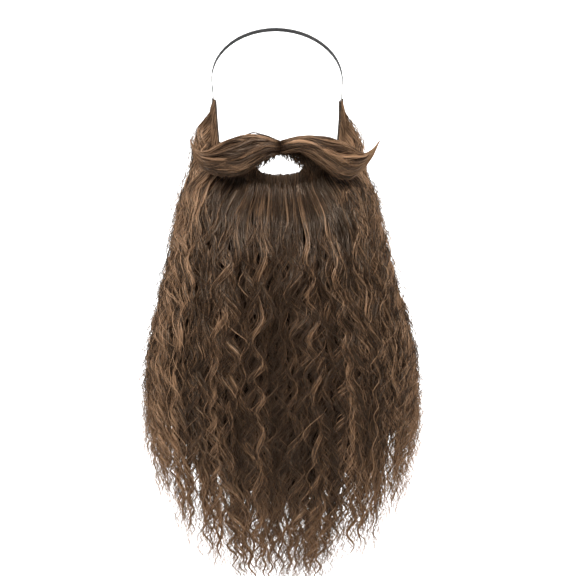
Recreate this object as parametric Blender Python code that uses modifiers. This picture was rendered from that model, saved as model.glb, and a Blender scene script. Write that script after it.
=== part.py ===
"""A long wavy fake beard with a handlebar moustache, worn over the chin and held by an elastic strap.

Metres, +Z up. The wearer faces -Y. The origin is where the front of the chin meets the base.
The hair is thick locks fused to a backing, cut to sit against the net base that holds them.
"""

import math
from collections import namedtuple

import bmesh
import bpy
from mathutils import Matrix, Vector

# The wearer's face, which the base is shaped to
EAR_DEPTH = 0.085
JAW_HALF_WIDTH = 0.058
TEMPLE_HALF_WIDTH = 0.071
CHIN_ROUND = 0.025
LIP_FORWARD = 0.003

# The net base
NET_WALL = 0.0015
CHIN_DROP = 0.018
LIP_EDGE = 0.020
CHEEK_EDGE = 0.056
SIDEBURN_TOP = 0.110
CHEEKBONE_HEIGHT = 0.062  # where the face reaches its width at the temples
JAW_CORNER = 0.014
EAR_ANGLE = math.radians(96)

# The moustache's own strip of net, above the mouth
MOUTH_HEIGHT = 0.022
STRIP_HEIGHT = 0.015
SEAM_GAP = 0.00045

# The hair below the face
BEARD_DROP = 0.430
HAIR_HALF_WIDTH = 0.157
HAIR_FORWARD = 0.052
HAIR_CENTRE = 0.050
HAIR_GAP = 0.0006
BACKING_INSET = 0.010
BACKING_THICKNESS = 0.016
BACKING_RISE = 0.070
BACKING_TOP = 0.80
PARTING_ANGLE = math.radians(42)
PARTING_OVERLAP = math.radians(7)
CHEEK_END_ANGLE = math.radians(106)

# The locks
LOCK_HALF_WIDTH = 0.0135
LOCK_HALF_DEPTH = 0.0085
LOCK_WAVE = 0.092
LOCK_SWAY = 0.0055
LOCK_REACH = 0.055
SIDEBURN_REACH = 0.026  # the same from the top of the sideburns, where the hair swells out at once
LOCK_ROOT_SHARE = 0.45
RING_SPACING = 0.030

# The moustache
WING_SPAN = 0.112
WING_RISE = 0.047
WING_DEPTH = 0.011
WING_GAP = 0.0002
STRAND_RADIUS = 0.0042

# The elastic strap and the patches that hold its ends
STRAP_WIDTH = 0.006
STRAP_THICKNESS = 0.001
STRAP_TILT = math.radians(58)
STRAP_RISE = 0.042
HEAD_HALF_WIDTH = 0.0748
CROWN_REACH = 0.072
STRAP_OVERLAP = 0.010
PATCH_WIDTH = 0.010
PATCH_HEIGHT = 0.011
PATCH_THICKNESS = 0.001
SEWN_GAP = 0.0003

# Colours of the materials
HAIR_BROWN = (0.075, 0.046, 0.030, 1)
HAIR_DARK = (0.050, 0.031, 0.021, 1)
NET_BROWN = (0.060, 0.040, 0.028, 1)
ELASTIC_BLACK = (0.020, 0.020, 0.022, 1)

# Edges of the base, from the front of the chin to the ear, as shares of its named heights
BaseColumn = namedtuple("BaseColumn", "angle cheek sideburn jaw")
BASE_COLUMNS = [
    BaseColumn(0.00, 0.00, 0.00, 0.00),
    BaseColumn(0.10, 0.00, 0.00, 0.00),
    BaseColumn(0.20, 0.08, 0.00, 0.00),
    BaseColumn(0.29, 0.40, 0.00, 0.02),
    BaseColumn(0.38, 0.68, 0.00, 0.05),
    BaseColumn(0.46, 0.82, 0.00, 0.10),
    BaseColumn(0.54, 0.92, 0.00, 0.17),
    BaseColumn(0.62, 1.00, 0.00, 0.27),
    BaseColumn(0.72, 1.00, 0.08, 0.44),
    BaseColumn(0.77, 1.00, 0.52, 0.57),
    BaseColumn(0.82, 1.00, 0.94, 0.70),
    BaseColumn(0.88, 1.00, 1.00, 0.84),
    BaseColumn(0.94, 1.00, 1.00, 0.94),
    BaseColumn(1.00, 1.00, 0.98, 1.00),
]
BASE_ROWS = 6

# Edges of the moustache strip: shares of the mouth's height that its lower edge drops, and of its own height
StripColumn = namedtuple("StripColumn", "angle drop height")
STRIP_COLUMNS = [
    StripColumn(0.00, 0.00, 1.00),
    StripColumn(0.10, 0.02, 1.12),
    StripColumn(0.20, 0.10, 1.10),
    StripColumn(0.29, None, 1.20),
    StripColumn(0.38, None, 0.60),
]
STRIP_ROWS = 2

# Outline of the hair: height as a share of the sideburn above the chin and of the drop below it,
# then the half width, the plan's centre and its front as shares of the three named sizes
OutlineRow = namedtuple("OutlineRow", "height width centre forward")
OUTLINE = [
    OutlineRow(1.00, 0.492, 1.70, 0.06),
    OutlineRow(0.78, 0.560, 1.64, 0.10),
    OutlineRow(0.57, 0.612, 1.58, 0.14),
    OutlineRow(0.36, 0.634, 1.48, 0.18),
    OutlineRow(0.18, 0.655, 1.40, 0.22),
    OutlineRow(0.00, 0.705, 1.30, 0.38),
    OutlineRow(-0.07, 0.755, 1.20, 0.62),
    OutlineRow(-0.17, 0.815, 1.10, 0.86),
    OutlineRow(-0.28, 0.890, 1.04, 0.96),
    OutlineRow(-0.40, 0.975, 1.00, 1.00),
    OutlineRow(-0.50, 1.000, 1.00, 0.96),
    OutlineRow(-0.62, 1.000, 1.00, 0.88),
    OutlineRow(-0.78, 0.960, 0.96, 0.70),
    OutlineRow(-1.00, 0.880, 0.90, 0.42),
]

# Where the hair starts and ends: angle round the plan and the root's angle on the base, in degrees,
# and how far down the tips reach as a share of the drop
FallRow = namedtuple("FallRow", "angle root drop")
FALL = [
    FallRow(0, 0, 1.000),
    FallRow(11, 9, 0.975),
    FallRow(22, 18, 0.918),
    FallRow(33, 28, 0.862),
    FallRow(47, 42, 0.812),
    FallRow(58, 52, 0.748),
    FallRow(70, 64, 0.674),
    FallRow(84, 78, 0.606),
    FallRow(108, 96, 0.530),
]

# The locks: angle round the plan in degrees, the root's height as a share of the base's, layer 0 in front
# or 1 behind, length as a share of the fall, and where in its wave the lock starts
Lock = namedtuple("Lock", "angle root layer length phase")
CHIN_LOCKS = [
    Lock(0, 0.86, 0, 1.00, 0.10),
    Lock(9, 0.86, 0, 0.93, 0.35),
    Lock(-9, 0.86, 0, 0.96, 0.80),
    Lock(18, 0.86, 0, 1.00, 0.55),
    Lock(-18, 0.86, 0, 0.92, 0.15),
    Lock(27, 0.84, 0, 0.94, 0.90),
    Lock(-27, 0.84, 0, 1.00, 0.60),
    Lock(36, 0.80, 0, 1.00, 0.25),
    Lock(-36, 0.80, 0, 0.95, 0.05),
    Lock(5, 0.20, 1, 0.97, 0.70),
    Lock(-13, 0.20, 1, 0.98, 0.40),
    Lock(21, 0.20, 1, 0.93, 0.10),
    Lock(-30, 0.20, 1, 0.96, 0.85),
]
CHEEK_LOCKS = [
    Lock(48, 0.80, 0, 0.97, 0.65),
    Lock(57, 0.82, 0, 1.00, 0.30),
    Lock(66, 0.84, 0, 0.94, 0.95),
    Lock(75, 0.86, 0, 1.00, 0.45),
    Lock(84, 0.88, 0, 0.95, 0.20),
    Lock(93, 0.92, 0, 1.00, 0.75),
    Lock(102, 0.86, 0, 0.96, 0.05),
    Lock(53, 0.20, 1, 0.96, 0.55),
    Lock(70, 0.20, 1, 0.98, 0.15),
    Lock(88, 0.20, 1, 0.96, 0.80),
]

# The moustache's two wings, from the lip's groove to their curled tips, as shares of their span, rise and depth.
# They are combed by hand, so they differ.
WingStation = namedtuple("WingStation", "out lift forward half_height half_depth")
RIGHT_WING = [
    WingStation(0.000, 1.060, 0.90, 0.16, 0.64),
    WingStation(0.090, 1.100, 1.15, 0.17, 0.76),
    WingStation(0.185, 1.140, 1.30, 0.17, 0.82),
    WingStation(0.300, 1.080, 1.40, 0.24, 0.95),
    WingStation(0.400, 0.980, 1.25, 0.31, 1.02),
    WingStation(0.500, 0.870, 0.80, 0.39, 1.05),
    WingStation(0.600, 0.775, 0.30, 0.43, 1.00),
    WingStation(0.690, 0.725, -0.10, 0.40, 0.88),
    WingStation(0.775, 0.720, -0.40, 0.26, 0.70),
    WingStation(0.850, 0.785, -0.55, 0.15, 0.50),
    WingStation(0.925, 0.960, -0.50, 0.09, 0.32),
    WingStation(1.000, 1.280, -0.30, 0.00, 0.00),
]
LEFT_WING = [
    WingStation(0.000, 1.060, 0.90, 0.16, 0.64),
    WingStation(0.130, 1.015, 1.25, 0.29, 0.82),
    WingStation(0.265, 0.955, 1.40, 0.39, 1.00),
    WingStation(0.400, 0.860, 1.15, 0.43, 1.08),
    WingStation(0.520, 0.820, 0.65, 0.405, 1.04),
    WingStation(0.620, 0.770, 0.10, 0.335, 0.90),
    WingStation(0.700, 0.745, -0.30, 0.245, 0.72),
    WingStation(0.775, 0.775, -0.50, 0.18, 0.54),
    WingStation(0.840, 0.930, -0.50, 0.12, 0.36),
    WingStation(0.895, 1.300, -0.25, 0.00, 0.00),
]
# Combed strands along the wing: how high and how far forward each one lies in the wing's own section
WingStrand = namedtuple("WingStrand", "up front")
WING_STRANDS = [
    WingStrand(0.86, 0.35),
    WingStrand(0.44, 0.82),
    WingStrand(0.00, 1.00),
    WingStrand(-0.44, 0.86),
    WingStrand(-0.86, 0.40),
]
CORE_SHARE = 0.78

LOCK_SIDES = 5
BACKING_STEP = math.radians(9)
BACKING_ROWS = 8
PARTING_SLICES = 16
BLOCK_STEP = math.radians(8)
BLOCK_ANGLE = math.radians(112)
BLOCK_SLICE = 0.004


def smooth(share):
    """An S curve from 0 to 1."""
    share = min(max(share, 0.0), 1.0)
    return share * share * (3 - 2 * share)


def blend(low, high, share):
    return low + (high - low) * share


def from_table(rows, key, name, value):
    """Reads one column of a table at a value of its key column, which rises or falls down the rows."""
    ordered = sorted(rows, key=lambda row: getattr(row, key))
    if value <= getattr(ordered[0], key):
        return getattr(ordered[0], name)
    for low, high in zip(ordered, ordered[1:]):
        start, end = getattr(low, key), getattr(high, key)
        if value <= end:
            return blend(getattr(low, name), getattr(high, name), (value - start) / (end - start))
    return getattr(ordered[-1], name)


def face_point(angle, height, out=0.0):
    """A point that lies out from the wearer's skin, at an angle round from the front of the chin."""
    rise = smooth(height / CHEEKBONE_HEIGHT) if height > 0 else 0.0
    half_width = blend(JAW_HALF_WIDTH, TEMPLE_HALF_WIDTH, rise)
    forward = LIP_FORWARD * smooth(height / LIP_EDGE)
    tuck = math.asin(min(max(-height / CHIN_ROUND, 0.0), 0.98))
    side = Vector((EAR_DEPTH * math.sin(angle), -half_width * math.cos(angle), 0)).normalized()
    skin = Vector((
        half_width * math.sin(angle),
        EAR_DEPTH * (1 - math.cos(angle)) - forward,
        height,
    ))
    outward = side * math.cos(tuck) - Vector((0, 0, math.sin(tuck)))
    return skin - side * CHIN_ROUND * (1 - math.cos(tuck)) + outward * out


def base_top(angle_share):
    cheek = from_table(BASE_COLUMNS, "angle", "cheek", angle_share)
    sideburn = from_table(BASE_COLUMNS, "angle", "sideburn", angle_share)
    return LIP_EDGE + cheek * (CHEEK_EDGE - LIP_EDGE) + sideburn * (SIDEBURN_TOP - CHEEK_EDGE)


def base_bottom(angle_share):
    return blend(-CHIN_DROP, JAW_CORNER, from_table(BASE_COLUMNS, "angle", "jaw", angle_share))


def outline_share(height):
    """The outline table's key for a height above or below the chin."""
    return height / (SIDEBURN_TOP if height > 0 else BEARD_DROP)


def hair_point(angle, height, inset=0.0):
    """A point on the outside of the hair, or inset from it, at an angle round the plan."""
    key = outline_share(height)
    half_width = HAIR_HALF_WIDTH * from_table(OUTLINE, "height", "width", key) - inset
    centre = HAIR_CENTRE * from_table(OUTLINE, "height", "centre", key)
    front = -HAIR_FORWARD * from_table(OUTLINE, "height", "forward", key) + inset
    return Vector((half_width * math.sin(angle), centre - (centre - front) * math.cos(angle), height))


def hair_end(angle):
    """How low the locks reach at an angle round the plan."""
    return -BEARD_DROP * from_table(FALL, "angle", "drop", abs(math.degrees(angle)))


def root_of(angle, share):
    """The angle and the height on the base of the hair's root, for an angle round the plan."""
    root = math.radians(from_table(FALL, "angle", "root", abs(math.degrees(angle))))
    column = root / EAR_ANGLE
    return math.copysign(root, angle), blend(base_bottom(column), base_top(column), share)


def falling_point(angle, share, height, out, inset):
    """A point of the hair that starts this far out from the skin and falls to this far inside the outline."""
    root_angle, root_height = root_of(angle, share)
    root = face_point(root_angle, root_height, out)
    fallen = hair_point(angle, height, inset)
    high = min(max((root_height - CHEEK_EDGE) / (SIDEBURN_TOP - CHEEK_EDGE), 0.0), 1.0)
    reach = smooth((root_height - height) / blend(LOCK_REACH, SIDEBURN_REACH, high))
    return Vector((blend(root.x, fallen.x, reach), blend(root.y, fallen.y, reach), height))


def new_object(name, bm, collection, material=None, smooth_faces=True):
    bm.normal_update()
    bmesh.ops.recalc_face_normals(bm, faces=bm.faces)
    mesh = bpy.data.meshes.new(name)
    bm.to_mesh(mesh)
    bm.free()
    if smooth_faces:
        mesh.shade_smooth()
        mesh.set_sharp_from_angle(angle=math.radians(50))
    obj = bpy.data.objects.new(name, mesh)
    collection.objects.link(obj)
    if material:
        mesh.materials.append(material)
    return obj


def loft(name, rings, collection, material=None, tip=None):
    """A closed solid through rings of equal length, capped at its start and capped or pointed at its end."""
    bm = bmesh.new()
    made = [[bm.verts.new(point) for point in ring] for ring in rings]
    sides = len(rings[0])
    for low, high in zip(made, made[1:]):
        for k in range(sides):
            bm.faces.new((low[k], low[(k + 1) % sides], high[(k + 1) % sides], high[k]))
    bm.faces.new(made[0])
    if tip is None:
        bm.faces.new(made[-1])
    else:
        point = bm.verts.new(tip)
        for k in range(sides):
            bm.faces.new((made[-1][k], made[-1][(k + 1) % sides], point))
    return new_object(name, bm, collection, material)


def sheet(name, columns, collection, material):
    """An open surface through columns of points, which Solidify gives the net's thickness."""
    bm = bmesh.new()
    made = [[bm.verts.new(point) for point in column] for column in columns]
    for left, right in zip(made, made[1:]):
        for k in range(len(left) - 1):
            bm.faces.new((left[k], right[k], right[k + 1], left[k + 1]))
    obj = new_object(name, bm, collection, material)
    wall = obj.modifiers.new("wall", "SOLIDIFY")
    wall.thickness = NET_WALL
    wall.offset = 1
    wall.use_even_offset = True
    return obj


def net_material(name, colour, roughness):
    material = bpy.data.materials.new(name)
    material.use_nodes = True
    shader = material.node_tree.nodes["Principled BSDF"]
    shader.inputs["Base Color"].default_value = colour
    shader.inputs["Roughness"].default_value = roughness
    shader.inputs["Metallic"].default_value = 0.0
    return material


def mirrored(table):
    """A table's columns for both sides of the face, left to right, as signed angle shares."""
    right = [(row.angle, row) for row in table]
    left = [(-row.angle, row) for row in reversed(table[1:])]
    return left + right


def make_face_base(collection, material):
    columns = []
    for share, row in mirrored(BASE_COLUMNS):
        low, high = base_bottom(row.angle), base_top(row.angle)
        heights = [blend(low, high, k / BASE_ROWS) for k in range(BASE_ROWS + 1)]
        columns.append([face_point(share * EAR_ANGLE, height) for height in heights])
    return sheet("face_base", columns, collection, material)


def make_moustache_base(collection, material):
    columns = []
    for share, row in mirrored(STRIP_COLUMNS):
        if row.drop is None:
            low = base_top(row.angle) + SEAM_GAP
        else:
            low = LIP_EDGE + MOUTH_HEIGHT * (1 - row.drop)
        heights = [low + STRIP_HEIGHT * row.height * k / STRIP_ROWS for k in range(STRIP_ROWS + 1)]
        columns.append([face_point(share * EAR_ANGLE, height) for height in heights])
    return sheet("moustache_base", columns, collection, material)


def make_face_block(collection):
    """The wearer's face and the base on it, with a small gap round them, to cut the hair to."""
    out = NET_WALL + HAIR_GAP
    low, high = -CHIN_DROP - out, SIDEBURN_TOP + 2 * out
    slices = max(2, round((high - low) / BLOCK_SLICE))
    steps = round(2 * BLOCK_ANGLE / BLOCK_STEP)
    rings = []
    for k in range(slices + 1):
        height = blend(low, high, k / slices)
        angles = [blend(-BLOCK_ANGLE, BLOCK_ANGLE, j / steps) for j in range(steps + 1)]
        rings.append([face_point(angle, height, out) for angle in angles])
    return loft("face_block", rings, collection)


def curtain(name, outer, inner, collection, material):
    """A closed solid between two grids of points, a row for each column of the curtain."""
    bm = bmesh.new()
    front = [[bm.verts.new(point) for point in column] for column in outer]
    back = [[bm.verts.new(point) for point in column] for column in inner]
    last_column, last_row = len(front) - 1, len(front[0]) - 1
    for grid in (front, back):
        for left, right in zip(grid, grid[1:]):
            for k in range(last_row):
                bm.faces.new((left[k], right[k], right[k + 1], left[k + 1]))
    for j in (0, last_column):
        for k in range(last_row):
            bm.faces.new((front[j][k], front[j][k + 1], back[j][k + 1], back[j][k]))
    for k in (0, last_row):
        for j in range(last_column):
            bm.faces.new((front[j][k], front[j + 1][k], back[j + 1][k], back[j][k]))
    return new_object(name, bm, collection, material)


def make_backing(name, low_angle, high_angle, collection, material):
    """The curtain that the locks are fused to, between two angles round the plan."""
    count = max(3, round((high_angle - low_angle) / BACKING_STEP))
    outer, inner = [], []
    for j in range(count + 1):
        angle = blend(low_angle, high_angle, j / count)
        start = root_of(angle, BACKING_TOP)[1]
        end = hair_end(angle) + BACKING_RISE
        heights = [blend(start, end, k / BACKING_ROWS) for k in range(BACKING_ROWS + 1)]
        inner_inset = BACKING_INSET + BACKING_THICKNESS
        outer.append([falling_point(angle, BACKING_TOP, h, 2 * NET_WALL, BACKING_INSET) for h in heights])
        inner.append([falling_point(angle, BACKING_TOP, h, -NET_WALL, inner_inset) for h in heights])
    return curtain(name, outer, inner, collection, material)


def lock_rings(lock, side):
    """The sections of a lock, which leaves the base, falls along the outline and sways."""
    angle = math.radians(lock.angle) * side
    root_height = root_of(angle, lock.root)[1]
    end = hair_end(angle) * lock.length
    inset = LOCK_HALF_DEPTH + lock.layer * BACKING_THICKNESS
    length = root_height - end
    count = max(6, round(length / RING_SPACING))
    across = Vector((math.cos(angle), math.sin(angle), 0))
    front = Vector((math.sin(angle), -math.cos(angle), 0))
    facing = 1 if lock.layer == 0 else -1
    rings = []
    for k in range(count):
        drop = length * k / count
        centre = falling_point(angle, lock.root, root_height - drop, NET_WALL, inset)
        turn = 2 * math.pi * (drop / LOCK_WAVE + lock.phase)
        sway = LOCK_SWAY * smooth(drop / (2 * LOCK_REACH))
        centre += across * sway * math.sin(turn) + front * sway * 0.3 * math.cos(turn)
        swell = blend(LOCK_ROOT_SHARE, 1.0, math.sqrt(smooth(drop / LOCK_REACH)))
        taper = math.sqrt(1 - (drop / length) ** 3)
        wide = LOCK_HALF_WIDTH * swell * taper
        deep = LOCK_HALF_DEPTH * swell * blend(LOCK_ROOT_SHARE, 1.0, taper)
        turns = [2 * math.pi * j / LOCK_SIDES for j in range(LOCK_SIDES)]
        rings.append([
            centre + across * wide * math.sin(turn) + front * facing * deep * math.cos(turn) for turn in turns
        ])
    return rings, hair_point(angle, end, inset)


def join_all(obj, others):
    """Fuses every object of a collection into this one. The exact solver loses pieces where so many locks cross."""
    fuse = obj.modifiers.new("fuse_locks", "BOOLEAN")
    fuse.operation = "UNION"
    fuse.operand_type = "COLLECTION"
    fuse.collection = others
    fuse.solver = "MANIFOLD"


def cut_away(obj, cutter):
    cut = obj.modifiers.new("cut_" + cutter.name, "BOOLEAN")
    cut.operation = "DIFFERENCE"
    cut.object = cutter
    cut.solver = "MANIFOLD"


def keep_outer_shell(obj):
    """Applies the Booleans, then drops the sealed pockets and offcuts that they leave between the locks."""
    fused = bpy.data.meshes.new_from_object(obj.evaluated_get(bpy.context.evaluated_depsgraph_get()))
    bm = bmesh.new()
    bm.from_mesh(fused)
    bpy.data.meshes.remove(fused)
    unseen = set(bm.faces)
    shells = []
    while unseen:
        shell, edge_of_shell = [], [unseen.pop()]
        while edge_of_shell:
            face = edge_of_shell.pop()
            shell.append(face)
            for edge in face.edges:
                for other in edge.link_faces:
                    if other in unseen:
                        unseen.remove(other)
                        edge_of_shell.append(other)
        shells.append(shell)
    shells.sort(key=len)
    for shell in shells[:-1]:
        bmesh.ops.delete(bm, geom=shell, context="FACES")
    bm.to_mesh(obj.data)
    bm.free()
    obj.modifiers.clear()


def make_parting(name, side, back, cutters):
    """A wedge that holds the cheek's hair, or the chin's, up to the parting between them."""
    angle = PARTING_ANGLE * side
    across = Vector((math.cos(angle), math.sin(angle), 0)) * side
    shift = -HAIR_GAP if back else 0
    far = HAIR_HALF_WIDTH * 2
    top, bottom = SIDEBURN_TOP * 1.5, -BEARD_DROP * 1.1
    rings = []
    for k in range(PARTING_SLICES + 1):
        height = blend(bottom, top, k / PARTING_SLICES)
        outside = falling_point(angle, BACKING_TOP, height, BACKING_THICKNESS, 0)
        inside = falling_point(angle, BACKING_TOP, height, -NET_WALL, BACKING_THICKNESS * 2)
        ray = (outside - inside).normalized()
        if back:
            others = [Vector((side * far, far, height)), Vector((-side * far * 0.1, far, height))]
        else:
            others = [Vector((side * far * 0.6, -far, height)), Vector((-side * far, -far, height))]
        corners = [inside - ray * BACKING_THICKNESS * 2, outside + ray * HAIR_HALF_WIDTH / 2, *others]
        rings.append([corner + across * shift for corner in corners])
    wedge = loft(name, rings, cutters)
    split = wedge.modifiers.new("same_diagonals", "TRIANGULATE")
    split.quad_method = "SHORTEST_DIAGONAL"
    return wedge


def make_locks(name, locks, side, cutters):
    group = bpy.data.collections.new(name)
    cutters.children.link(group)
    for number, lock in enumerate(locks):
        rings, tip = lock_rings(lock, side)
        loft(f"{name}_{number}", rings, group, tip=tip)
    return group


def wing_section(station):
    """The centre of a section of one of the moustache's wings, and its half height and half depth."""
    centre = Vector((
        WING_SPAN * station.out + WING_GAP,
        -WING_DEPTH * station.forward,
        WING_RISE * station.lift,
    ))
    return centre, WING_RISE * station.half_height, WING_DEPTH * station.half_depth


def make_wing(name, side, stations, block, cutters, collection, material):
    """One wing of the moustache: a core with combed strands fused along it, cut to sit on its strip of net."""
    sections = [wing_section(station) for station in stations]
    flip = Matrix.Diagonal((side, 1, 1, 1))
    rings = []
    for centre, high, deep in sections[:-1]:
        ring = [
            centre + Vector((0, -deep * CORE_SHARE * math.cos(a), high * CORE_SHARE * math.sin(a)))
            for a in (2 * math.pi * k / 8 for k in range(8))
        ]
        rings.append([flip @ point for point in ring])
    tip = flip @ sections[-1][0]
    wing = loft(name, rings, collection, material, tip=tip)
    group = bpy.data.collections.new(name + "_strands")
    cutters.children.link(group)
    for number, strand in enumerate(WING_STRANDS):
        rings = []
        for centre, high, deep in sections[:-1]:
            wide = min(STRAND_RADIUS * 1.35, high * 0.55)
            thick = min(STRAND_RADIUS, deep * 0.55)
            middle = centre + Vector((0, -(deep - thick) * strand.front, (high - wide) * strand.up))
            ring = [
                middle + Vector((0, -thick * math.cos(a), wide * math.sin(a)))
                for a in (2 * math.pi * k / 6 for k in range(6))
            ]
            rings.append([flip @ point for point in ring])
        loft(f"{name}_strand_{number}", rings, group, tip=tip)
    join_all(wing, group)
    cut_away(wing, block)
    keep_outer_shell(wing)
    return wing


def strap_line():
    """Points along the inner side of the strap, from the right sideburn to the back of the crown."""
    along = Vector((0, math.cos(STRAP_TILT), math.sin(STRAP_TILT)))
    start = strap_start()
    points = [start]
    steps = 4
    for k in range(steps):
        share = k / steps
        rise = blend(STRAP_OVERLAP * 1.2, STRAP_RISE, share)
        points.append(start + along * rise + Vector(((HEAD_HALF_WIDTH - start.x) * smooth(share), 0, 0)))
    turns = 12
    for k in range(turns + 1):
        turn = math.pi / 2 * k / turns
        rise = STRAP_RISE + CROWN_REACH * math.sin(turn)
        points.append(Vector((HEAD_HALF_WIDTH * math.cos(turn), start.y, start.z)) + along * rise)
    return points


def strap_start():
    """The inner side of the strap's end, on the outside of the sideburn net."""
    angle = EAR_ANGLE * 0.87
    height = SIDEBURN_TOP - STRAP_OVERLAP
    point = face_point(angle, height, NET_WALL)
    widest = max(face_point(a, h).x for a in (angle, math.pi / 2) for h in (height, SIDEBURN_TOP))
    return Vector((widest + NET_WALL + SEWN_GAP, point.y, point.z))


def make_strap(collection, material):
    half = strap_line()
    line = half + [Vector((-point.x, point.y, point.z)) for point in reversed(half[:-1])]
    across = Vector((0, -math.sin(STRAP_TILT), math.cos(STRAP_TILT))) * STRAP_WIDTH / 2
    obj = sheet("elastic_strap", [[point - across, point + across] for point in line], collection, material)
    obj.modifiers["wall"].thickness = STRAP_THICKNESS
    return obj


def make_patch(name, side, out, thickness, width, ends, collection, material=None):
    """A plate in line with the strap, between two distances along it. The clearance round the strap is one too."""
    low, high = ends
    along = Vector((0, math.cos(STRAP_TILT), math.sin(STRAP_TILT)))
    across = Vector((0, -math.sin(STRAP_TILT), math.cos(STRAP_TILT)))
    middle = strap_start() + along * (low + high) / 2
    bm = bmesh.new()
    bmesh.ops.create_cube(bm, size=1)
    turn = Matrix((Vector((1, 0, 0)), along, across)).transposed().to_4x4()
    scale = Matrix.Diagonal((thickness, high - low, width, 1))
    place = Matrix.Translation(middle + Vector((out + thickness / 2, 0, 0)))
    bm.transform(Matrix.Diagonal((side, 1, 1, 1)) @ place @ turn @ scale)
    return new_object(name, bm, collection, material, smooth_faces=False)


def main():
    for obj in list(bpy.data.objects):
        bpy.data.objects.remove(obj)
    scene = bpy.context.scene.collection
    parts = bpy.data.collections.new("fake_beard")
    cutters = bpy.data.collections.new("cutters")
    scene.children.link(parts)
    scene.children.link(cutters)

    hair = net_material("hair", HAIR_BROWN, 0.55)
    moustache_hair = net_material("moustache_hair", HAIR_BROWN, 0.5)
    under_hair = net_material("cheek_hair", HAIR_DARK, 0.55)
    net = net_material("net", NET_BROWN, 0.8)
    elastic = net_material("elastic", ELASTIC_BLACK, 0.7)

    make_face_base(parts, net)
    make_moustache_base(parts, net)
    block = make_face_block(cutters)
    make_strap(parts, elastic)
    over_strap = STRAP_THICKNESS + SEWN_GAP
    over_patch = over_strap + PATCH_THICKNESS + HAIR_GAP
    patch_ends = (STRAP_OVERLAP / 2 - PATCH_HEIGHT / 2, STRAP_OVERLAP / 2 + PATCH_HEIGHT / 2)
    pocket_ends = (patch_ends[0] - HAIR_GAP, STRAP_RISE)
    pocket_width = PATCH_WIDTH + 2 * HAIR_GAP
    sides = {"right": 1, "left": -1}
    wings = {"right": RIGHT_WING, "left": LEFT_WING}
    pockets = {}
    for word, side in sides.items():
        make_patch(f"strap_patch_{word}", side, over_strap, PATCH_THICKNESS, PATCH_WIDTH, patch_ends, parts, elastic)
        pockets[word] = make_patch(
            f"strap_pocket_{word}", side, -2 * NET_WALL, over_patch + 2 * NET_WALL, pocket_width, pocket_ends, cutters
        )

    ends = PARTING_ANGLE + PARTING_OVERLAP
    chin = make_backing("chin_hair", -ends, ends, parts, hair)
    join_all(chin, make_locks("chin_locks", CHIN_LOCKS, 1, cutters))
    cut_away(chin, block)
    for word, side in sides.items():
        cut_away(chin, make_parting(f"cheek_side_{word}", side, True, cutters))
    keep_outer_shell(chin)

    for word, side in sides.items():
        ends = sorted((side * (PARTING_ANGLE - PARTING_OVERLAP), side * CHEEK_END_ANGLE))
        cheek = make_backing(f"cheek_hair_{word}", *ends, parts, under_hair)
        join_all(cheek, make_locks(f"cheek_locks_{word}", CHEEK_LOCKS, side, cutters))
        cut_away(cheek, block)
        cut_away(cheek, make_parting(f"chin_side_{word}", side, False, cutters))
        cut_away(cheek, pockets[word])
        keep_outer_shell(cheek)
        make_wing(f"moustache_{word}", side, wings[word], block, cutters, parts, moustache_hair)

    for obj in cutters.all_objects:
        obj.hide_render = True
        obj.display_type = "WIRE"


main()
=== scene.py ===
import math
import bmesh
import bpy
import numpy as np
from mathutils import Matrix, Vector


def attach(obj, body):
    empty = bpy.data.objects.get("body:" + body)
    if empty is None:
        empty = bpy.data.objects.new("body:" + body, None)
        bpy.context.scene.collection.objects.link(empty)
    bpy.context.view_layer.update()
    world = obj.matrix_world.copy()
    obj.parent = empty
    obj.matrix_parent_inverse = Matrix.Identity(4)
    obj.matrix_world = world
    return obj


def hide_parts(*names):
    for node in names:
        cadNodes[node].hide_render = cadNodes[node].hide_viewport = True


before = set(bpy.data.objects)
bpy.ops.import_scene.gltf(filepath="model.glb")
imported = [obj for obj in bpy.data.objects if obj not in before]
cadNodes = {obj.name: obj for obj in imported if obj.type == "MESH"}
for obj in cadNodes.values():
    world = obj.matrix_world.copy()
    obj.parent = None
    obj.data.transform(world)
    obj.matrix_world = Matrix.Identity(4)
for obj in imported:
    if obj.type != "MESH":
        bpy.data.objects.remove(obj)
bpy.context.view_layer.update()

# the net that carries the hair, in metres, and its edges in mm at angles in degrees from the chin
netForm = {
    "earDepth": 0.085, "jawWidth": 0.058, "templeWidth": 0.071, "cheekbone": 0.062, "wall": 0.0015,
    "chinRound": 0.025, "steepest": 0.98, "lipForward": 0.003, "lipEdge": 0.020,
    "angles": [0, 9.6, 19.2, 27.8, 36.5, 44.2, 51.8, 59.5, 69.1, 73.9, 78.7, 84.5, 90.2, 96.0],
    "bottom": [-18, -18, -18, -17.4, -16.4, -14.8, -12.6, -9.4, -3.9, 0.2, 4.4, 8.9, 12.1, 14.0],
    "top": [20, 20, 22.9, 34.4, 44.5, 49.5, 53.1, 56.0, 60.3, 84.1, 106.8, 110, 110, 108.9],
}
# the outer shape of the fallen hair, in mm at each height, and the drop in mm at each angle round it
hairForm = {
    "heights": [-430, -335.4, -266.6, -215, -172, -120.4, -73.1, -30.1, 0, 19.8, 39.6, 62.7, 85.8, 110],
    "widths": [138.2, 150.7, 157, 157, 153.1, 139.7, 128, 118.5, 110.7, 102.8, 99.5, 96.5, 88.6, 77.5],
    "centres": [45, 48, 50, 50, 50, 52, 55, 60, 65, 70, 74, 79, 82, 85],
    "fronts": [-21.8, -36.4, -45.8, -49.9, -52, -49.9, -44.7, -32.2, -19.8, -11.4, -9.4, -7.3, -5.2, -3.1],
    "fallAngles": [0, 11, 22, 33, 47, 58, 70, 84, 108],
    "rootAngles": [0, 9, 18, 28, 42, 52, 64, 78, 96],
    "drops": [430, 430, 412, 390, 368, 344, 312, 276, 235],
    "reach": 0.055, "sideburnReach": 0.024, "lean": 0.004, "leanDrop": 0.2,  # metres
}
anyPhase = (0, 6.3)  # radians


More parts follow.
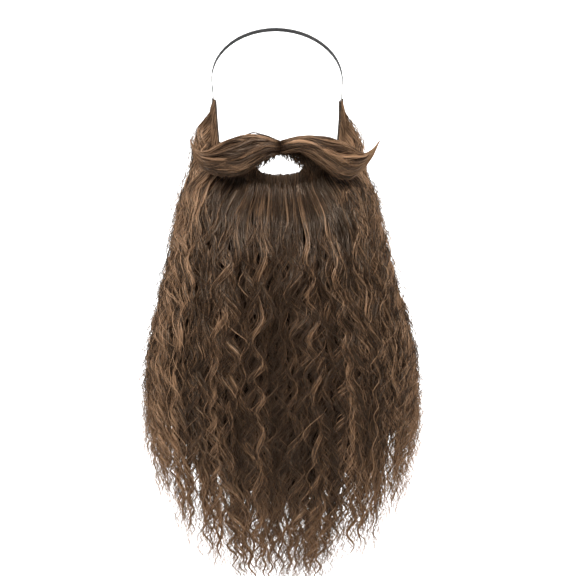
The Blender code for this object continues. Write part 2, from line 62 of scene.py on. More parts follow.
def smoothShare(x):
    x = np.clip(x, 0, 1)
    return x * x * (3 - 2 * x)


def sideDegrees(angle):
    return np.degrees(np.abs(angle))


def netEdge(degrees, edge):
    return np.interp(degrees, netForm["angles"], netForm[edge])


def facePoint(angle, height, out):  # on the net, or out from it
    rise = smoothShare(height / netForm["cheekbone"])
    width = netForm["jawWidth"] + (netForm["templeWidth"] - netForm["jawWidth"]) * rise
    forward = netForm["lipForward"] * smoothShare(height / netForm["lipEdge"])
    tuck = np.arcsin(np.clip(-height / netForm["chinRound"], 0, netForm["steepest"]))
    side = np.stack([netForm["earDepth"] * np.sin(angle), -width * np.cos(angle)], -1)
    side /= np.linalg.norm(side, axis=-1, keepdims=True)
    shift = out * np.cos(tuck) - netForm["chinRound"] * (1 - np.cos(tuck))
    x = width * np.sin(angle) + side[..., 0] * shift
    y = netForm["earDepth"] * (1 - np.cos(angle)) - forward + side[..., 1] * shift
    return np.stack([x, y, height - out * np.sin(tuck)], -1)


def hairPoint(angle, height, inset):  # on the outside of the fallen hair, or in from it
    heights = hairForm["heights"]
    mm = height * 1000
    width = np.interp(mm, heights, hairForm["widths"]) / 1000 - inset
    centre = np.interp(mm, heights, hairForm["centres"]) / 1000
    front = np.interp(mm, heights, hairForm["fronts"]) / 1000 + inset
    lean = hairForm["lean"] * smoothShare(-height / hairForm["leanDrop"])
    x = width * np.sin(angle) + lean
    return np.stack([x, centre - (centre - front) * np.cos(angle), height + 0 * angle], -1)


def rootPlace(angle, share):  # angle round the net and height on it, for an angle round the hair
    root = np.interp(sideDegrees(angle), hairForm["fallAngles"], hairForm["rootAngles"])
    bottom, top = netEdge(root, "bottom") / 1000, netEdge(root, "top") / 1000
    return np.sign(angle) * np.radians(root), bottom + (top - bottom) * share


def hairDrop(angle):
    return np.interp(sideDegrees(angle), hairForm["fallAngles"], hairForm["drops"]) / 1000


def outFacing(angle):
    return np.stack([np.sin(angle), -np.cos(angle), 0 * angle], -1)


def finishMesh(obj, material):
    obj.data.materials.append(material)
    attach(obj, "root")
    return obj


def addObject(name, data):
    obj = bpy.data.objects.new(name, data)
    bpy.context.scene.collection.objects.link(obj)
    return obj


def newPiece(name, bm, material):
    mesh = bpy.data.meshes.new(name)
    bm.to_mesh(mesh)
    bm.free()
    mesh.shade_smooth()
    return finishMesh(addObject(name, mesh), material)


# node helpers
def addNode(tree, kind, **values):
    node = tree.nodes.new(kind)
    for key, value in values.items():
        if key in node.inputs:
            node.inputs[key].default_value = value
        else:
            setattr(node, key, value)
    return node


def feed(tree, socket, value):
    if isinstance(value, bpy.types.NodeSocket):
        tree.links.new(value, socket)
    else:
        socket.default_value = value


def mixColour(tree, share, first, second):
    node = tree.nodes.new("ShaderNodeMix")
    node.data_type = "RGBA"
    for number, value in ((0, share), (6, first), (7, second)):
        feed(tree, node.inputs[number], value)
    return node.outputs[2]


def mathNode(tree, operation, *values):
    node = tree.nodes.new("ShaderNodeMath")
    node.operation = operation
    for socket, value in zip(node.inputs, values):
        feed(tree, socket, value)
    return node.outputs[0]


def mapRange(tree, value, low, high, newLow=0.0, newHigh=1.0):
    node = tree.nodes.new("ShaderNodeMapRange")
    tree.links.new(value, node.inputs["Value"])
    for socket, number in zip(list(node.inputs)[1:5], (low, high, newLow, newHigh)):
        socket.default_value = number
    return node.outputs["Result"]


def addRelief(tree, height, strength, distance, target):
    bump = addNode(tree, "ShaderNodeBump", Strength=strength, Distance=distance)
    tree.links.new(height, bump.inputs["Height"])
    tree.links.new(bump.outputs["Normal"], target)


def objectTexture(tree, kind, stretch=None, **values):
    texture = addNode(tree, kind, **values)
    place = tree.nodes.new("ShaderNodeTexCoord").outputs["Object"]
    if stretch:
        mapping = addNode(tree, "ShaderNodeMapping", Scale=stretch)
        tree.links.new(place, mapping.inputs["Vector"])
        place = mapping.outputs["Vector"]
    tree.links.new(place, texture.inputs["Vector"])
    return texture


def twoColours(tree, shader, look, share, height, roughness):
    tree.links.new(mixColour(tree, share, look["dark"], look["light"]), shader.inputs["Base Color"])
    addRelief(tree, height, look["relief"], look["reliefDepth"], shader.inputs["Normal"])
    feed(tree, shader.inputs["Roughness"], roughness)


def newMaterial(name):
    material = bpy.data.materials.new(name)
    material.use_nodes = True
    tree = material.node_tree
    return material, tree, tree.nodes["Principled BSDF"]


# colour, gloss and fine relief of hair, with streaks that follow each strand
fibreForm = {
    "noiseSpan": (0.3, 0.7), "detail": 3.0, "streakRoughness": 0.6,
    "patchScale": 24.0, "patchTone": (-0.12, 0.12),
    "fineStreaks": (2.4, 0.045, 1.0), "fineTone": (-0.24, 0.28),  # turns per mm across and along
    "broadStreaks": (0.75, 0.03, 1.0), "broadTone": (-0.12, 0.14),
    "toneSpan": (0.16, 0.90), "rootEnd": 0.07, "tipStart": 0.70, "tipShare": 0.75,
    "streakGloss": (0.07, -0.05), "reliefStrength": 0.55, "relief": 0.0004,
}
fibreInputs = {
    "Tone": "Float", "Along": "Float", "Place": "Vector", "Coordinates": "Vector",
    "Root": "Color", "Middle": "Color", "Light": "Color", "Tip": "Color", "Gloss": "Float",
}
fibreOutputs = {"Colour": "Color", "Roughness": "Float", "Normal": "Vector"}


def buildFibreGroup():
    form = fibreForm
    group = bpy.data.node_groups.new("fibreTone", "ShaderNodeTree")
    for direction, sockets in (("INPUT", fibreInputs), ("OUTPUT", fibreOutputs)):
        for name, kind in sockets.items():
            group.interface.new_socket(name, in_out=direction, socket_type="NodeSocket" + kind)
    source = group.nodes.new("NodeGroupInput").outputs
    patches = addNode(group, "ShaderNodeTexNoise", Scale=form["patchScale"], Detail=form["detail"])
    group.links.new(source["Coordinates"], patches.inputs["Vector"])
    tones = [mapRange(group, patches.outputs["Fac"], *form["noiseSpan"], *form["patchTone"])]
    streaks = []
    for kind in ("fine", "broad"):
        mapping = addNode(group, "ShaderNodeMapping", Scale=form[kind + "Streaks"])
        group.links.new(source["Place"], mapping.inputs["Vector"])
        streak = addNode(group, "ShaderNodeTexNoise", Scale=1.0, Detail=form["detail"], Roughness=form["streakRoughness"])
        group.links.new(mapping.outputs["Vector"], streak.inputs["Vector"])
        streaks.append(streak.outputs["Fac"])
        tones.append(mapRange(group, streak.outputs["Fac"], *form["noiseSpan"], *form[kind + "Tone"]))
    tone = source["Tone"]
    for change in tones:
        tone = mathNode(group, "ADD", tone, change)
    body = mixColour(group, mapRange(group, tone, *form["toneSpan"]), source["Middle"], source["Light"])
    rooted = mixColour(group, mapRange(group, source["Along"], 0.0, form["rootEnd"]), source["Root"], body)
    # lighter towards the tip: painted light of the backlight through the thin ends
    tipShare = mapRange(group, source["Along"], form["tipStart"], 1.0, 0.0, form["tipShare"])
    gloss = mapRange(group, streaks[0], *form["noiseSpan"], *form["streakGloss"])
    target = group.nodes.new("NodeGroupOutput").inputs
    group.links.new(mixColour(group, tipShare, rooted, source["Tip"]), target["Colour"])
    group.links.new(mathNode(group, "ADD", source["Gloss"], gloss), target["Roughness"])
    addRelief(group, streaks[0], form["reliefStrength"], form["relief"], target["Normal"])
    return group


fibreGroup = buildFibreGroup()

# colours in the order root, middle, light, tip; the lighter tip colour is painted light, the backlight through the thin
# ends
hairTint = (0.90, 0.72, 0.57, 1)
hairLooks = {
    "beardHair": {
        "colours": [(0.030, 0.016, 0.008), (0.024, 0.0125, 0.0062), (0.315, 0.182, 0.102), (0.270, 0.152, 0.082)],
        "gloss": 0.33, "specular": 0.5,
    },
    # a darker copy of the beard's hair for hair that lies in shade: the inner layers, the lip and the net's edge; its
    # darkness is painted shade
    "shadedHair": {
        "colours": [(0.012, 0.007, 0.004), (0.020, 0.011, 0.006), (0.140, 0.080, 0.044), (0.220, 0.126, 0.069)],
        "gloss": 0.48, "specular": 0.3,
    },
    "moustacheHair": {
        "colours": [(0.040, 0.022, 0.012), (0.030, 0.016, 0.009), (0.300, 0.174, 0.098), (0.200, 0.116, 0.064)],
        "gloss": 0.34, "specular": 0.3,
    },
}
strandAttributes = {"strandTone": ("Fac", "Tone"), "strandAlong": ("Fac", "Along"), "strandPlace": ("Vector", "Place")}


def hairMaterial(name):
    look = hairLooks[name]
    material, tree, shader = newMaterial(name)
    fibre = tree.nodes.new("ShaderNodeGroup")
    fibre.node_tree = fibreGroup
    coordinates = tree.nodes.new("ShaderNodeTexCoord")
    tree.links.new(coordinates.outputs["Object"], fibre.inputs["Coordinates"])
    for attributeName, (output, socket) in strandAttributes.items():
        attribute = addNode(tree, "ShaderNodeAttribute", attribute_name=attributeName)
        tree.links.new(attribute.outputs[output], fibre.inputs[socket])
    for socket, colour in zip(("Root", "Middle", "Light", "Tip"), look["colours"]):
        fibre.inputs[socket].default_value = (*colour, 1)
    fibre.inputs["Gloss"].default_value = look["gloss"]
    tree.links.new(fibre.outputs["Colour"], shader.inputs["Base Color"])
    tree.links.new(fibre.outputs["Roughness"], shader.inputs["Roughness"])
    tree.links.new(fibre.outputs["Normal"], shader.inputs["Normal"])
    shader.inputs["Specular IOR Level"].default_value = look["specular"]
    shader.inputs["Specular Tint"].default_value = hairTint
    return material


beardHair = hairMaterial("beardHair")
shadedHair = hairMaterial("shadedHair")
moustacheHair = hairMaterial("moustacheHair")

# matted hair that is seen between the strands, and the moustache's combed core; both are coloured darker than the hair
# as painted shade
mattedForm = {"detail": 4.0, "noiseRoughness": 0.7, "distortion": 0.6, "reliefDepth": 0.002,
              "colourSpan": (0.35, 0.68), "glossSpan": (0.3, 0.7), "gloss": (0.72, 0.60), "specular": 0.12}
mattedLooks = {
    "shadedMattedHair": {**mattedForm, "dark": (0.006, 0.003, 0.002, 1), "light": (0.030, 0.016, 0.009, 1),
                   "stretch": (700, 700, 40), "relief": 0.8},
    "shadedCombedCore": {**mattedForm, "dark": (0.012, 0.006, 0.003, 1), "light": (0.055, 0.030, 0.016, 1),
                   "stretch": (90, 500, 700), "relief": 0.7},
}


def mattedMaterial(name):
    look = mattedLooks[name]
    material, tree, shader = newMaterial(name)
    streaks = objectTexture(tree, "ShaderNodeTexNoise", look["stretch"], Scale=1.0, Detail=look["detail"],
                            Roughness=look["noiseRoughness"], Distortion=look["distortion"]).outputs["Fac"]
    share = mapRange(tree, streaks, *look["colourSpan"])
    twoColours(tree, shader, look, share, streaks, mapRange(tree, streaks, *look["glossSpan"], *look["gloss"]))
    shader.inputs["Specular IOR Level"].default_value = look["specular"]
    return material


shadedMattedHair = mattedMaterial("shadedMattedHair")
shadedCombedCore = mattedMaterial("shadedCombedCore")
print("hair materials done")

# many strands along paths as one mesh, each a closed tube with its tone, share of length and place as attributes
streakShift = 17.3  # mm between the streaks of one strand and the next


def strandPiece(name, paths, radii, tones, facing, material, sides=3, flat=1.0, edgeShade=0.0):
    count, steps = paths.shape[:2]
    tangent = np.gradient(paths, axis=1)
    tangent /= np.linalg.norm(tangent, axis=2, keepdims=True) + 1e-12
    side = np.cross(tangent, facing)
    side /= np.linalg.norm(side, axis=2, keepdims=True) + 1e-12
    out = np.cross(tangent, side)
    turns = np.arange(sides) * 2 * np.pi / sides - np.pi / 2
    ring = side[:, :, None] * np.cos(turns)[:, None] + out[:, :, None] * np.sin(turns)[:, None] * flat
    points = paths[:, :, None] + radii[:, :, None, None] * ring
    index = np.arange(count * steps * sides).reshape(count, steps, sides)
    after = np.roll(index, -1, axis=2)
    quads = np.stack([index[:, :-1], after[:, :-1], after[:, 1:], index[:, 1:]], -1).reshape(-1)
    ends = np.concatenate([index[:, 0, ::-1], index[:, -1]]).reshape(-1)
    corners = np.concatenate([quads, ends]).astype(np.int32)
    starts = np.concatenate([np.arange(0, len(quads), 4), len(quads) + np.arange(0, len(ends), sides)])
    mesh = bpy.data.meshes.new(name)
    mesh.vertices.add(count * steps * sides)
    mesh.vertices.foreach_set("co", points.reshape(-1).astype(np.float32))
    mesh.loops.add(len(corners))
    mesh.loops.foreach_set("vertex_index", corners)
    mesh.polygons.add(len(starts))
    mesh.polygons.foreach_set("loop_start", starts.astype(np.int32))
    mesh.update(calc_edges=True)
    mesh.validate()
    mesh.shade_smooth()
    place = np.zeros((count, steps, sides, 3))  # mm
    place[..., 0] = np.cos(turns) * radii[:, :, None] * 1000 + np.arange(count)[:, None, None] * streakShift
    gone = np.cumsum(np.linalg.norm(np.diff(paths, axis=1, prepend=paths[:, :1]), axis=2), axis=1)
    place[..., 1] = gone[:, :, None] * 1000
    # painted shade: each tube is darker at its sides and on its inner side, so a lock body looks round
    tone = tones[:, :, None] - edgeShade * np.cos(turns) ** 2 - edgeShade * (np.sin(turns) > 0.1)
    share = np.broadcast_to(np.linspace(0, 1, steps)[:, None], (count, steps, sides))
    attributes = (("strandTone", "FLOAT", "value", np.clip(tone, 0, 1)), ("strandAlong", "FLOAT", "value", share),
                  ("strandPlace", "FLOAT_VECTOR", "vector", place))
    for attributeName, kind, key, values in attributes:
        attribute = mesh.attributes.new(attributeName, kind, "POINT")
        attribute.data.foreach_set(key, values.reshape(-1).astype(np.float32))
    print("strands", name, count, "triangles", count * (steps * sides * 2 - 4))
    return finishMesh(addObject(name, mesh), material)


ownTone = {"shape": (1.0, 1.9), "mean": 0.36}


def scatterTone(rng, size, total):  # most strands a little darker, a few much lighter
    return size * (rng.beta(*ownTone["shape"], total) - ownTone["mean"])


def taperedRadii(rng, form, radius, total, t, loose=False):
    own = rng.uniform(*form["radii"], total) * np.where(loose, form.get("looseRadius", 1), 1)
    return radius * own[:, None] * np.interp(t, form["along"], form["taper"])


# how the locks of one layer differ from each other
lockForm = {
    "gap": (0.1, 0.9), "waveDrift": 2.4, "swaySpread": 0.22, "swayRange": (0.55, 1.5),
    "ownPitch": 0.25, "pitchRange": (-3, 3), "longest": 1.04, "lengthReach": 4, "lengthDrift": 0.9, "ownLength": 0.5,
    "unevenDrift": 2.5, "forwardRange": (0.6, 1.3), "widthRange": (0.7, 1.35),
}


def driftAlong(rng, count, reach):  # random values that change slowly from lock to lock
    kernel = np.hanning(reach + 2)
    return np.convolve(rng.normal(0, 1, count + reach + 1), kernel / np.linalg.norm(kernel), "valid")[:count]


def sowLocks(hair, rng):
    form, locks, reach = lockForm, hair["locks"], hair["reach"]
    low, high = np.radians(hair["angles"])
    spacing = (high - low) / locks
    lock = {"spacing": spacing, "angle": low + spacing * (np.arange(locks) + rng.uniform(*form["gap"], locks))}
    lock["depth"] = rng.uniform(*hair["depth"], locks)
    lock["wave"] = form["waveDrift"] * driftAlong(rng, locks, reach) + rng.normal(0, hair["waveDrift"], locks)
    lock["sway"] = np.clip(rng.normal(1.0, form["swaySpread"], locks), *form["swayRange"])
    pitch = driftAlong(rng, locks, reach) + rng.normal(0, form["ownPitch"], locks)
    lock["pitch"] = 1 + hair["pitchSpread"] * pitch.clip(*form["pitchRange"])
    shorter = form["lengthDrift"] * np.abs(driftAlong(rng, locks, form["lengthReach"]))
    shorter = shorter + form["ownLength"] * np.abs(rng.normal(0, 1, locks))
    lock["length"] = hair["length"] * (form["longest"] - hair["ragged"] * shorter)
    lock["tone"] = rng.normal(0, hair["lockTone"], locks)
    lock["twist"] = rng.uniform(-1, 1, locks) * hair["twist"]
    lock["uneven"] = np.stack([form["unevenDrift"] * driftAlong(rng, locks, reach) for k in range(2)])[..., None]
    lock["forward"] = hair["forward"] * np.sign(driftAlong(rng, locks, reach)) * rng.uniform(*form["forwardRange"], locks)
    lock["drift"] = rng.normal(0, hair["drift"], (2, locks))
    lock["width"] = hair["lockWidth"] * rng.uniform(*form["widthRange"], locks)
    return lock


# where strands start on the net, how they bow out into the fall, and the parting under the moustache's ends
hangForm = {
    "rootShare": 1.3, "shareScatter": (-0.3, 0.14), "spreadAngle": 60, "angleScatter": 0.6,
    "heightScatter": 0.0012, "highest": 0.1095, "rootOut": 0.0010,
    "looseShort": 0.15, "lengths": (0.05, 1.12), "lowest": -0.449, "lowestScatter": 0.04, "shortest": 0.03,
    "bow": 0.11, "reachHeights": [0.04, 0.1], "layerDepth": 0.026, "sideInset": 0.004, "sideStart": 50, "sideSpan": 35,
    "partingAngle": 34, "partingWidth": 7.5, "partingStart": 0.03, "partingEnd": 0.13, "partingDepth": 0.14,
}


def hangStrands(hair, lock, which, loose, steps, jitter, shorter, noise, rng):
    form, total = hangForm, len(which)
    angle, depth = lock["angle"][which], lock["depth"][which]
    side = sideDegrees(angle)
    share = np.clip(depth * form["rootShare"] + rng.uniform(*form["shareScatter"], total) * jitter, 0, 1)
    share = hair["rootTop"] - (hair["rootTop"] - hair["rootBottom"]) * share
    rootAngle, rootHeight = rootPlace(angle, share)
    spread = 1 + hair["rootSpread"] * np.clip(1 - side / form["spreadAngle"], 0, 1)
    scatter = rng.uniform(-form["angleScatter"], form["angleScatter"], total) * lock["spacing"] * jitter
    rootAngle = rootAngle * spread + scatter
    rootHeight = np.minimum(rootHeight + noise(form["heightScatter"]), form["highest"])
    lengthShare = lock["length"][which] - shorter - np.where(loose, rng.uniform(0, form["looseShort"], total), 0)
    lowest = form["lowest"] + rng.uniform(0, form["lowestScatter"], total)
    end = np.clip(-hairDrop(angle) * np.clip(lengthShare, *form["lengths"]), lowest, rootHeight - form["shortest"])
    length = (rootHeight - end)[:, None]
    t = np.linspace(0, 1, steps)
    drop = length * (t + form["bow"] * np.sin(np.pi * t))
    height = rootHeight[:, None] - drop

    fallReach = np.interp(rootHeight, form["reachHeights"], [hairForm["reach"], hairForm["sideburnReach"]])
    reach = smoothShare(drop / fallReach[:, None])
    inset = hair["inset"] + depth * form["layerDepth"]
    inset = inset + form["sideInset"] * smoothShare((side - form["sideStart"]) / form["sideSpan"])
    fallen = hairPoint(angle[:, None] + 0 * height, height, inset[:, None])
    rooted = facePoint(rootAngle, rootHeight, netForm["wall"] + form["rootOut"])[:, None]
    paths = rooted + (fallen - rooted) * reach[..., None]
    paths[..., 2] = height
    groove = np.exp(-(((side - form["partingAngle"]) / form["partingWidth"]) ** 2))[:, None]
    groove = groove * (1 - smoothShare(drop / form["partingEnd"])) * smoothShare(drop / form["partingStart"])
    paths[..., :2] *= 1 - form["partingDepth"] * groove[..., None]
    return {
        "paths": paths, "angle": angle, "side": side[:, None], "rootHeight": rootHeight[:, None], "t": t,
        "drop": drop, "left": length - drop, "groove": groove, "wave": lock["wave"][which][:, None],
        "waving": smoothShare((drop - hair["straight"]) / hair["easing"]),
    }


# straight at first, then long waves that tighten into a curl at the tip, in metres
waveForm = {
    "left": [0, 0.03, 0.08, 0.14, 0.22, 0.4], "lengths": [0.023, 0.026, 0.034, 0.043, 0.050, 0.056], "fullLength": 0.052,
    "unevenLength": 0.041, "unevenSwing": 0.033, "unevenShare": 1.3, "tipScatter": 0.05, "scatterZone": 0.15,
    "frizzZone": 0.10, "looseScatter": 4, "swingScatter": 0.15, "looseSwing": 1.3,
}


def waveStrands(hair, lock, which, loose, fall, noise):
    form, drop, left = waveForm, fall["drop"], fall["left"]
    looser = np.where(loose, form["looseScatter"], 1)
    uneven = lock["uneven"][:, which]
    length = np.interp(left, form["left"], form["lengths"])
    length = length * (lock["pitch"][which] * (1 + noise(hair["pitch"]) * looser))[:, None]
    length = length * (1 + hair["uneven"] * np.sin(drop / form["unevenLength"] + uneven[0]))
    length = length * np.exp(noise(form["tipScatter"])[:, None] * smoothShare(1 - left / form["scatterZone"]))
    turn = np.cumsum(2 * np.pi * np.diff(drop, axis=1, prepend=0) / length, axis=1)
    tipShare = smoothShare(1 - left / form["frizzZone"])
    turn = turn + fall["wave"] + (noise(hair["stray"]) * looser)[:, None] + noise(hair["frizz"])[:, None] * tipShare
    swing = hair["sway"] * lock["sway"][which] * (1 + noise(form["swingScatter"])) * np.where(loose, form["looseSwing"], 1)
    swing = swing[:, None] * fall["waving"] * (length / form["fullLength"]) ** hair["curl"]
    swing = swing * (1 + form["unevenShare"] * hair["uneven"] * np.sin(drop / form["unevenSwing"] + uneven[1]))
    return turn, swing, tipShare


# slow bends of a whole lock, and small ones of each strand, sideways and outwards
driftForm = {
    "bendLength": 0.031, "bendZone": 0.12, "leanStart": 0.08, "leanZone": 0.25, "outFan": 0.5,
    "bends": (1, 2, 3, 5), "looseBends": 2.6, "outBends": 0.6,
}


def driftStrands(hair, lock, which, loose, fall, tipShare, noise, rng):
    form, drop, t = driftForm, fall["drop"], fall["t"]
    anyTurn = lambda: rng.uniform(*anyPhase, len(which))[:, None]
    bend, lean = lock["drift"][:, which, None]
    wander = bend * np.sin(drop / form["bendLength"] + fall["wave"]) * smoothShare(drop / form["bendZone"])
    wander = wander + lean * smoothShare((drop - form["leanStart"]) / form["leanZone"])
    wander = wander + noise(hair["fan"])[:, None] * tipShare
    wanderOut = noise(hair["fan"] * form["outFan"])[:, None] * tipShare
    for k in form["bends"]:
        size = hair["wander"] * np.where(loose, form["looseBends"], 1) / k
        wander = wander + (noise(1) * size)[:, None] * np.sin(k * np.pi * t + anyTurn())
        wanderOut = wanderOut + form["outBends"] * (noise(1) * size)[:, None] * np.sin(k * np.pi * t + anyTurn())
    return wander, wanderOut


# how a lock's strands gather and twist, and how far its waves also swing outwards at the sides
gatherForm = {
    "rootZone": 0.045, "left": [0, 0.04, 0.16], "shares": [0.7, 0.75, 1.0], "ripple": 0.2, "rippleLength": 0.017,
    "crown": 0.6, "twistLength": 0.1, "twistOut": 0.6, "fade": 0.03, "sideForward": 1.9, "sideStart": 30, "sideSpan": 45,
}
# lighter crests as painted highlights where the waves bulge out, lighter sides and sideburns, darker front, and a
# darker parting as painted shadow under the moustache's ends
liftForm = {
    "crestHighlight": 0.10, "crestTurn": 0.5, "front": 0.16, "frontAngle": 45, "frontStart": 0.05, "frontZone": 0.10,
    "parting": 0.8, "side": 0.26, "sideStart": 34, "sideSpan": 40, "all": 0.05,
    "sideburn": 0.3, "sideburnStart": 0.05, "sideburnZone": 0.04, "sideburnFade": 0.10,
}


def liftTone(fall, turn, forward):
    form, drop, side = liftForm, fall["drop"], fall["side"]
    front = np.clip(1 - side / form["frontAngle"], 0, 1)
    sideburn = smoothShare((fall["rootHeight"] - form["sideburnStart"]) / form["sideburnZone"])
    # painted highlight on the crest of each wave
    lift = form["crestHighlight"] * fall["waving"] * np.cos(turn + form["crestTurn"]) * np.sign(forward)
    lift = lift - form["front"] * front * smoothShare((drop - form["frontStart"]) / form["frontZone"])
    # painted shadow in the parting under the moustache's ends
    lift = lift - form["parting"] * fall["groove"]
    lift = lift + form["side"] * smoothShare((side - form["sideStart"]) / form["sideSpan"]) + form["all"]
    return lift + form["sideburn"] * sideburn * (1 - smoothShare(drop / form["sideburnFade"]))


def fallingHair(hair, lock, which, p, q, loose, steps, jitter, shorter, rng):
    form = gatherForm
    noise = lambda size: rng.normal(0, 1, len(which)) * size * jitter
    fall = hangStrands(hair, lock, which, loose, steps, jitter, shorter, noise, rng)
    turn, swing, tipShare = waveStrands(hair, lock, which, loose, fall, noise)
    wander, wanderOut = driftStrands(hair, lock, which, loose, fall, tipShare, noise, rng)
    angle, drop = fall["angle"], fall["drop"]
    gather = hair["gather"] + (1 - hair["gather"]) * np.exp(-((drop / form["rootZone"]) ** 2))
    gather = gather * np.interp(fall["left"], form["left"], form["shares"])
    gather = gather * (1 + form["ripple"] * np.sin(drop / form["rippleLength"] + 2 * fall["wave"]))
    across = (p * lock["width"][which])[:, None]
    inward = (-hair["lockDepth"] * (form["crown"] * q - form["crown"] * p**2) * jitter)[:, None]
    twist = lock["twist"][which][:, None] * drop / form["twistLength"]
    sideShare = smoothShare((fall["side"] - form["sideStart"]) / form["sideSpan"])
    forward = lock["forward"][which][:, None] * (1 + form["sideForward"] * sideShare)
    fade = smoothShare(drop / form["fade"])
    lateral = (across * np.cos(twist) - inward * np.sin(twist)) * gather + wander
    outward = (across * np.sin(twist) * form["twistOut"] + inward * np.cos(twist)) * gather + wanderOut
    lateral = fade * lateral + swing * np.sin(turn)
    outward = fade * outward + swing * forward * np.cos(turn)
    sideways = np.stack([np.cos(angle), np.sin(angle), 0 * angle], -1)[:, None]
    facing = outFacing(angle)[:, None]
    paths = fall["paths"] + sideways * lateral[..., None] + facing * outward[..., None]
    return {
        **fall, "paths": paths, "facing": np.broadcast_to(facing, paths.shape),
        "gather": gather, "lift": liftTone(fall, turn, forward),
    }


# the massed body of a lock, darkened below its strands and at its sides as painted shade, and its strands
bodyForm = {
    "width": 1.35, "left": [0, 0.012, 0.04], "leftShares": [0.15, 0.5, 1], "drop": [0, 0.02], "dropShares": [0.35, 1],
    "back": 0.0010, "flat": 0.42, "edgeShade": 0.28, "shade": 0.12,
}
strandForm = {
    "widest": 2, "looseWidth": 1.8, "thinnest": (1.0, 2.2), "radii": (0.6, 1.25), "looseRadius": 0.7,
    "along": [0, 0.06, 0.7, 1], "taper": [0.8, 1, 0.85, 0.42],
}
# tone of locks and strands: depth darkens deeper locks, and middle and outer lighten a lock's middle and outer strands;
# these are painted shade and light that round each lock and darken the inside of the beard, while own and wisps vary
# the tone from strand to strand
toneForm = {
    "base": 0.32, "depth": 1.3, "strands": 0.08, "own": 0.55, "middle": 0.12, "outer": 0.14,
    "wisps": 0.44, "wispWidth": 3.2, "wispTurn": 3,
}


def lockBodies(name, hair, lock, shade, material, rng):
    form = bodyForm
    which = np.arange(hair["locks"])
    none = np.zeros(len(which))
    fall = fallingHair(hair, lock, which, none, none, none > 1, hair["bodySteps"], 0.0, hair["bodyShort"], rng)
    halfWidth = form["width"] * lock["width"][:, None] * fall["gather"]
    halfWidth = halfWidth * np.interp(fall["left"], form["left"], form["leftShares"])
    halfWidth = halfWidth * np.interp(fall["drop"], form["drop"], form["dropShares"])
    paths = fall["paths"] - fall["facing"] * form["back"]
    # lock bodies sit darker than their strands: painted shade between the strands
    tones = shade[:, None] - form["shade"] + fall["lift"]
    strandPiece(name + "Locks", paths, halfWidth, tones, fall["facing"], material,
                sides=hair["bodySides"], flat=form["flat"], edgeShade=form["edgeShade"])


def lockStrands(name, hair, lock, shade, strands, radius, material, rng):
    form, tone = strandForm, toneForm
    which = np.repeat(np.arange(hair["locks"]), strands)
    total = len(which)
    loose = rng.random(total) < hair["loose"]
    p = np.clip(rng.normal(0, 1, total), -form["widest"], form["widest"]) * np.where(loose, form["looseWidth"], 1)
    q = rng.normal(0, 1, total)
    shorter = hair["thinning"] * rng.beta(*form["thinnest"], total)
    fall = fallingHair(hair, lock, which, p, q, loose, hair["steps"], 1.0, shorter, rng)
    radii = taperedRadii(rng, form, radius, total, fall["t"], loose)
    tones = shade[which] + tone["strands"] + scatterTone(rng, tone["own"], total)
    # painted light on a lock's middle and outer strands, painted shade on its edges and inner strands
    tones = tones + tone["middle"] * (1 - p**2) + tone["outer"] * q
    tones = tones + tone["wisps"] * np.sin(tone["wispWidth"] * p + tone["wispTurn"] * lock["wave"][which])
    return strandPiece(name, fall["paths"], radii, tones[:, None] + fall["lift"], fall["facing"], material)


def growHair(name, hair, material):
    rng = np.random.default_rng(hair["seed"])
    lock = sowLocks(hair, rng)
    # deeper locks are darker: painted shade inside the beard
    shade = toneForm["base"] + lock["tone"] + hair["tone"] - toneForm["depth"] * (lock["depth"] - hair["depth"][0])
    if hair["bodySteps"]:
        lockBodies(name, hair, lock, shade, material, rng)
    return {ending: lockStrands(name + ending, hair, lock, shade, strands, radius, material, rng)
            for ending, strands, radius in hair["parts"]}


# degrees round the hair, shares of its depth and length, sizes in metres; parts are name ending, strands a lock, radius
hairStyle = {
    "seed": 11, "angles": (-43, 43), "depth": (0.0, 0.25), "locks": 64, "parts": (("Fine", 7, 0.00029), ("", 6, 0.00044)),
    "steps": 68, "bodySteps": 70, "bodySides": 7, "bodyShort": 0.09, "lockWidth": 0.0019, "lockDepth": 0.0019,
    "length": 1.11, "ragged": 0.09, "thinning": 0.17, "twist": 0.2, "loose": 0.16, "gather": 0.85,
    "rootTop": 1.0, "rootBottom": 0.06, "rootSpread": 0.8, "inset": 0.002, "straight": 0.030, "easing": 0.07,
    "reach": 10, "waveDrift": 0.25, "stray": 0.10, "pitch": 0.008, "pitchSpread": 0.09, "uneven": 0.3,
    "sway": 0.0057, "forward": 0.28, "curl": 0.65, "drift": 0.0045, "wander": 0.0007, "frizz": 1.9, "fan": 0.011,
    "tone": -0.06, "lockTone": 0.25,
}
# the middle and inner layers have lower tones and the darker hair material: painted shade inside the beard
chinLayers = {
    "Outer": hairStyle,
    "Middle": {
        **hairStyle, "seed": 12, "depth": (0.2, 0.6), "locks": 40, "parts": (("", 7, 0.00044),),
        "steps": 56, "bodySteps": 60, "bodySides": 6, "length": 1.09, "tone": -0.16,
    },
    "Inner": {
        **hairStyle, "seed": 13, "depth": (0.6, 1.0), "locks": 28, "parts": (("", 6, 0.00045),),
        "steps": 44, "bodySteps": 44, "bodySides": 6, "length": 1.05, "tone": -0.24,
    },
}
cheekStyle = {
    **hairStyle, "seed": 21, "angles": (42, 106), "locks": 48, "parts": (("Fine", 6, 0.00029), ("", 6, 0.00042)),
    "steps": 60, "bodySteps": 60, "straight": 0.006, "easing": 0.04, "loose": 0.08, "tone": -0.03,
}
